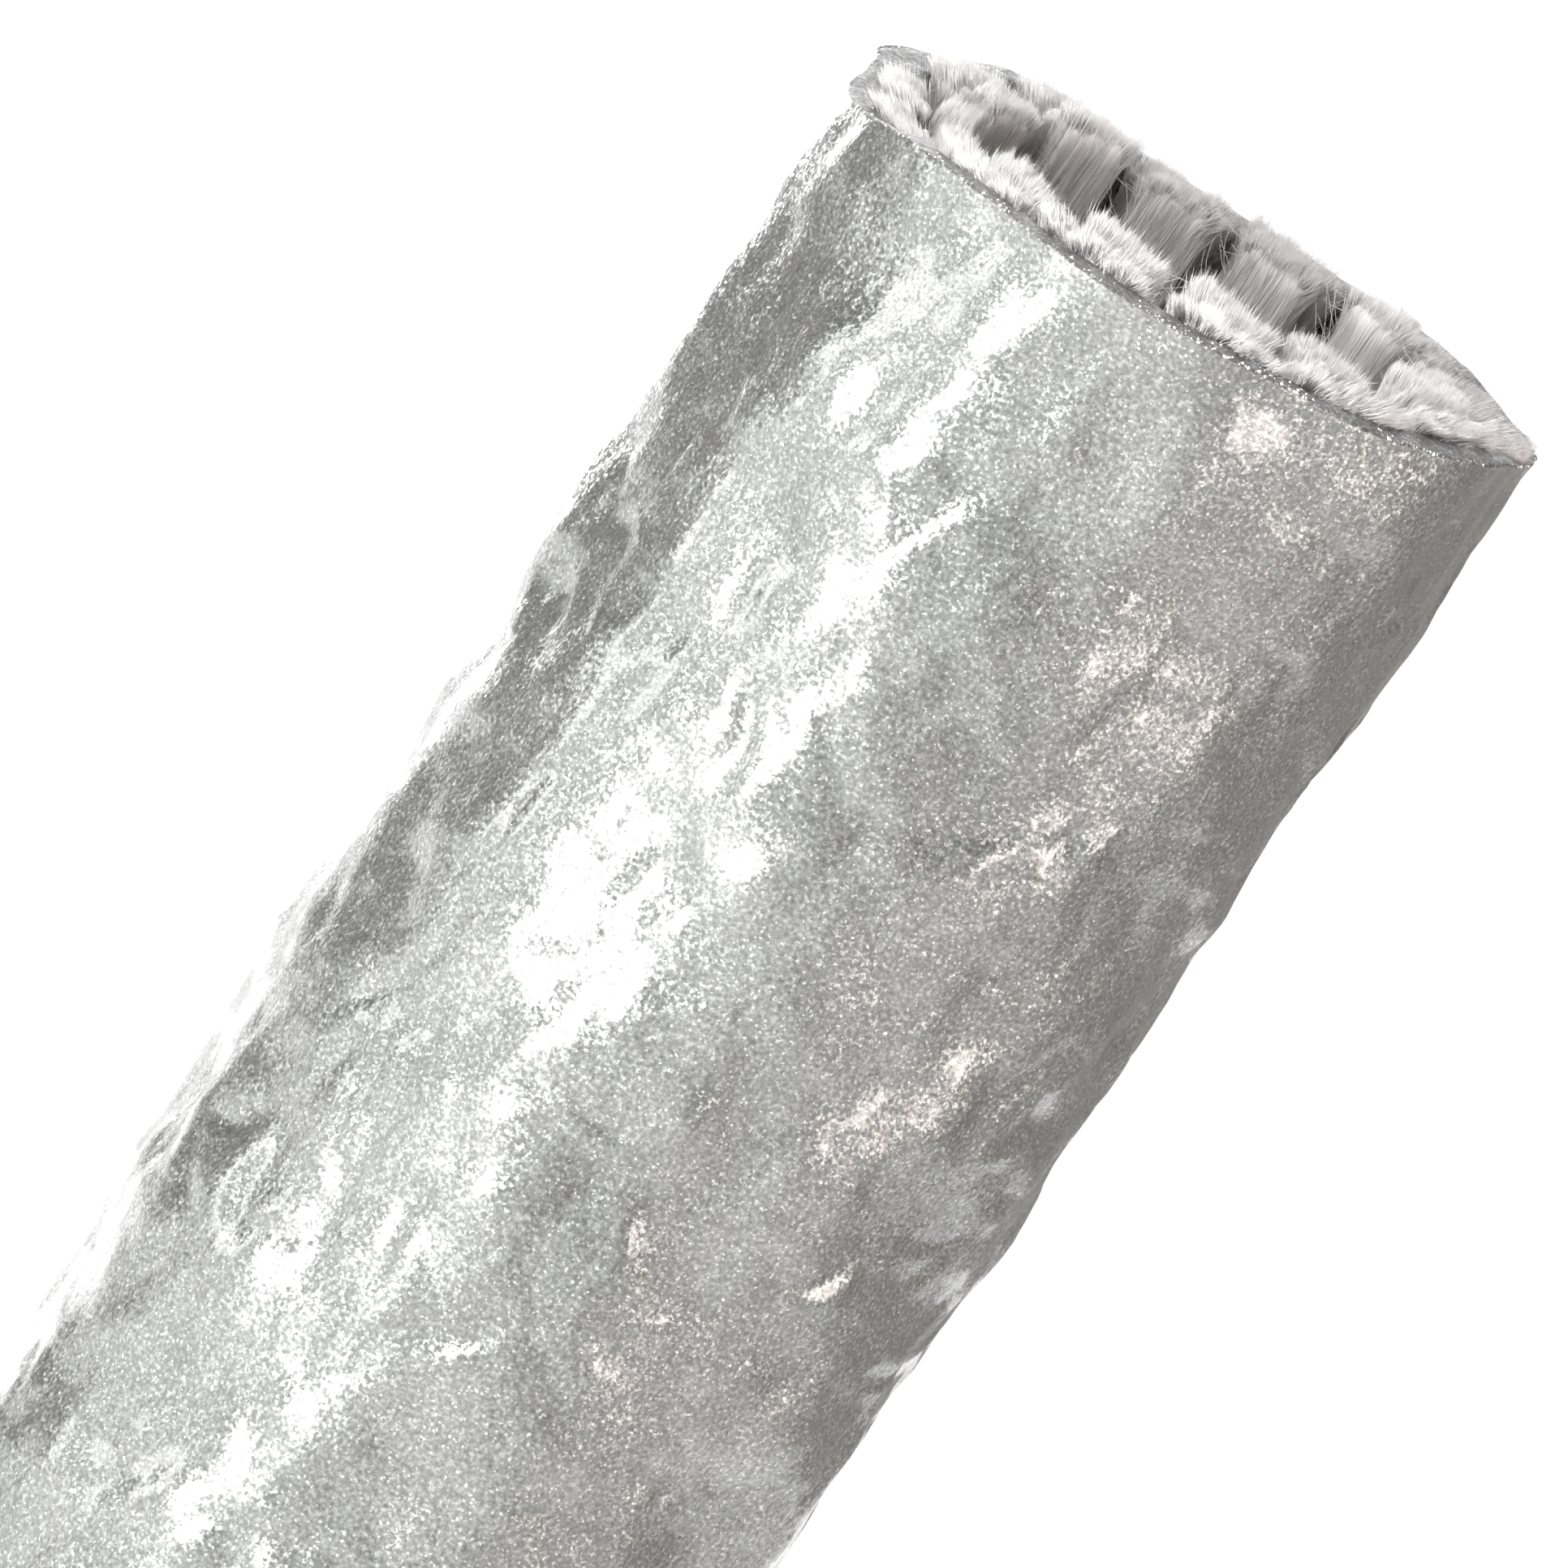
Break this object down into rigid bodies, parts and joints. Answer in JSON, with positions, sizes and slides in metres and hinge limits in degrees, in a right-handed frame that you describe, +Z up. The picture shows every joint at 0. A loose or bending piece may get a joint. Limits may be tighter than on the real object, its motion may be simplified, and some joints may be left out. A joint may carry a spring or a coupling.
{
  "type": "fire sleeve",
  "caption": "Cut length of flexible fire sleeve: a silver-grey silicone rubber jacket over bundles of glass-fibre yarn, slid over a hose or cable to shield it from flame and heat.",
  "frame": {"origin": "centre of the square-cut lower end, in the plane the sleeve stands on", "axes": "+Z up along the sleeve towards its hand-cut upper end; +X roughly towards the side where that end is cut highest"},
  "size_m": [0.0238, 0.0238, 0.1014],
  "materials": {
    "silver_silicone": "satin",
    "glass_fibre": "matte"
  },
  "bodies": {
    "root": {"silicone_jacket": "silver_silicone", "inner_roving_01": "glass_fibre", "outer_roving_01": "glass_fibre", "inner_roving_02": "glass_fibre", "outer_roving_02": "glass_fibre", "inner_roving_03": "glass_fibre", "outer_roving_03": "glass_fibre", "inner_roving_04": "glass_fibre", "outer_roving_04": "glass_fibre", "inner_roving_05": "glass_fibre", "outer_roving_05": "glass_fibre", "inner_roving_06": "glass_fibre", "outer_roving_06": "glass_fibre", "inner_roving_07": "glass_fibre", "outer_roving_07": "glass_fibre", "inner_roving_08": "glass_fibre", "outer_roving_08": "glass_fibre", "inner_roving_09": "glass_fibre", "outer_roving_09": "glass_fibre", "inner_roving_10": "glass_fibre", "outer_roving_10": "glass_fibre", "inner_roving_11": "glass_fibre", "outer_roving_11": "glass_fibre", "inner_roving_12": "glass_fibre", "outer_roving_12": "glass_fibre", "inner_roving_13": "glass_fibre", "outer_roving_13": "glass_fibre", "inner_roving_14": "glass_fibre", "outer_roving_14": "glass_fibre"}
  },
  "joints": []
}
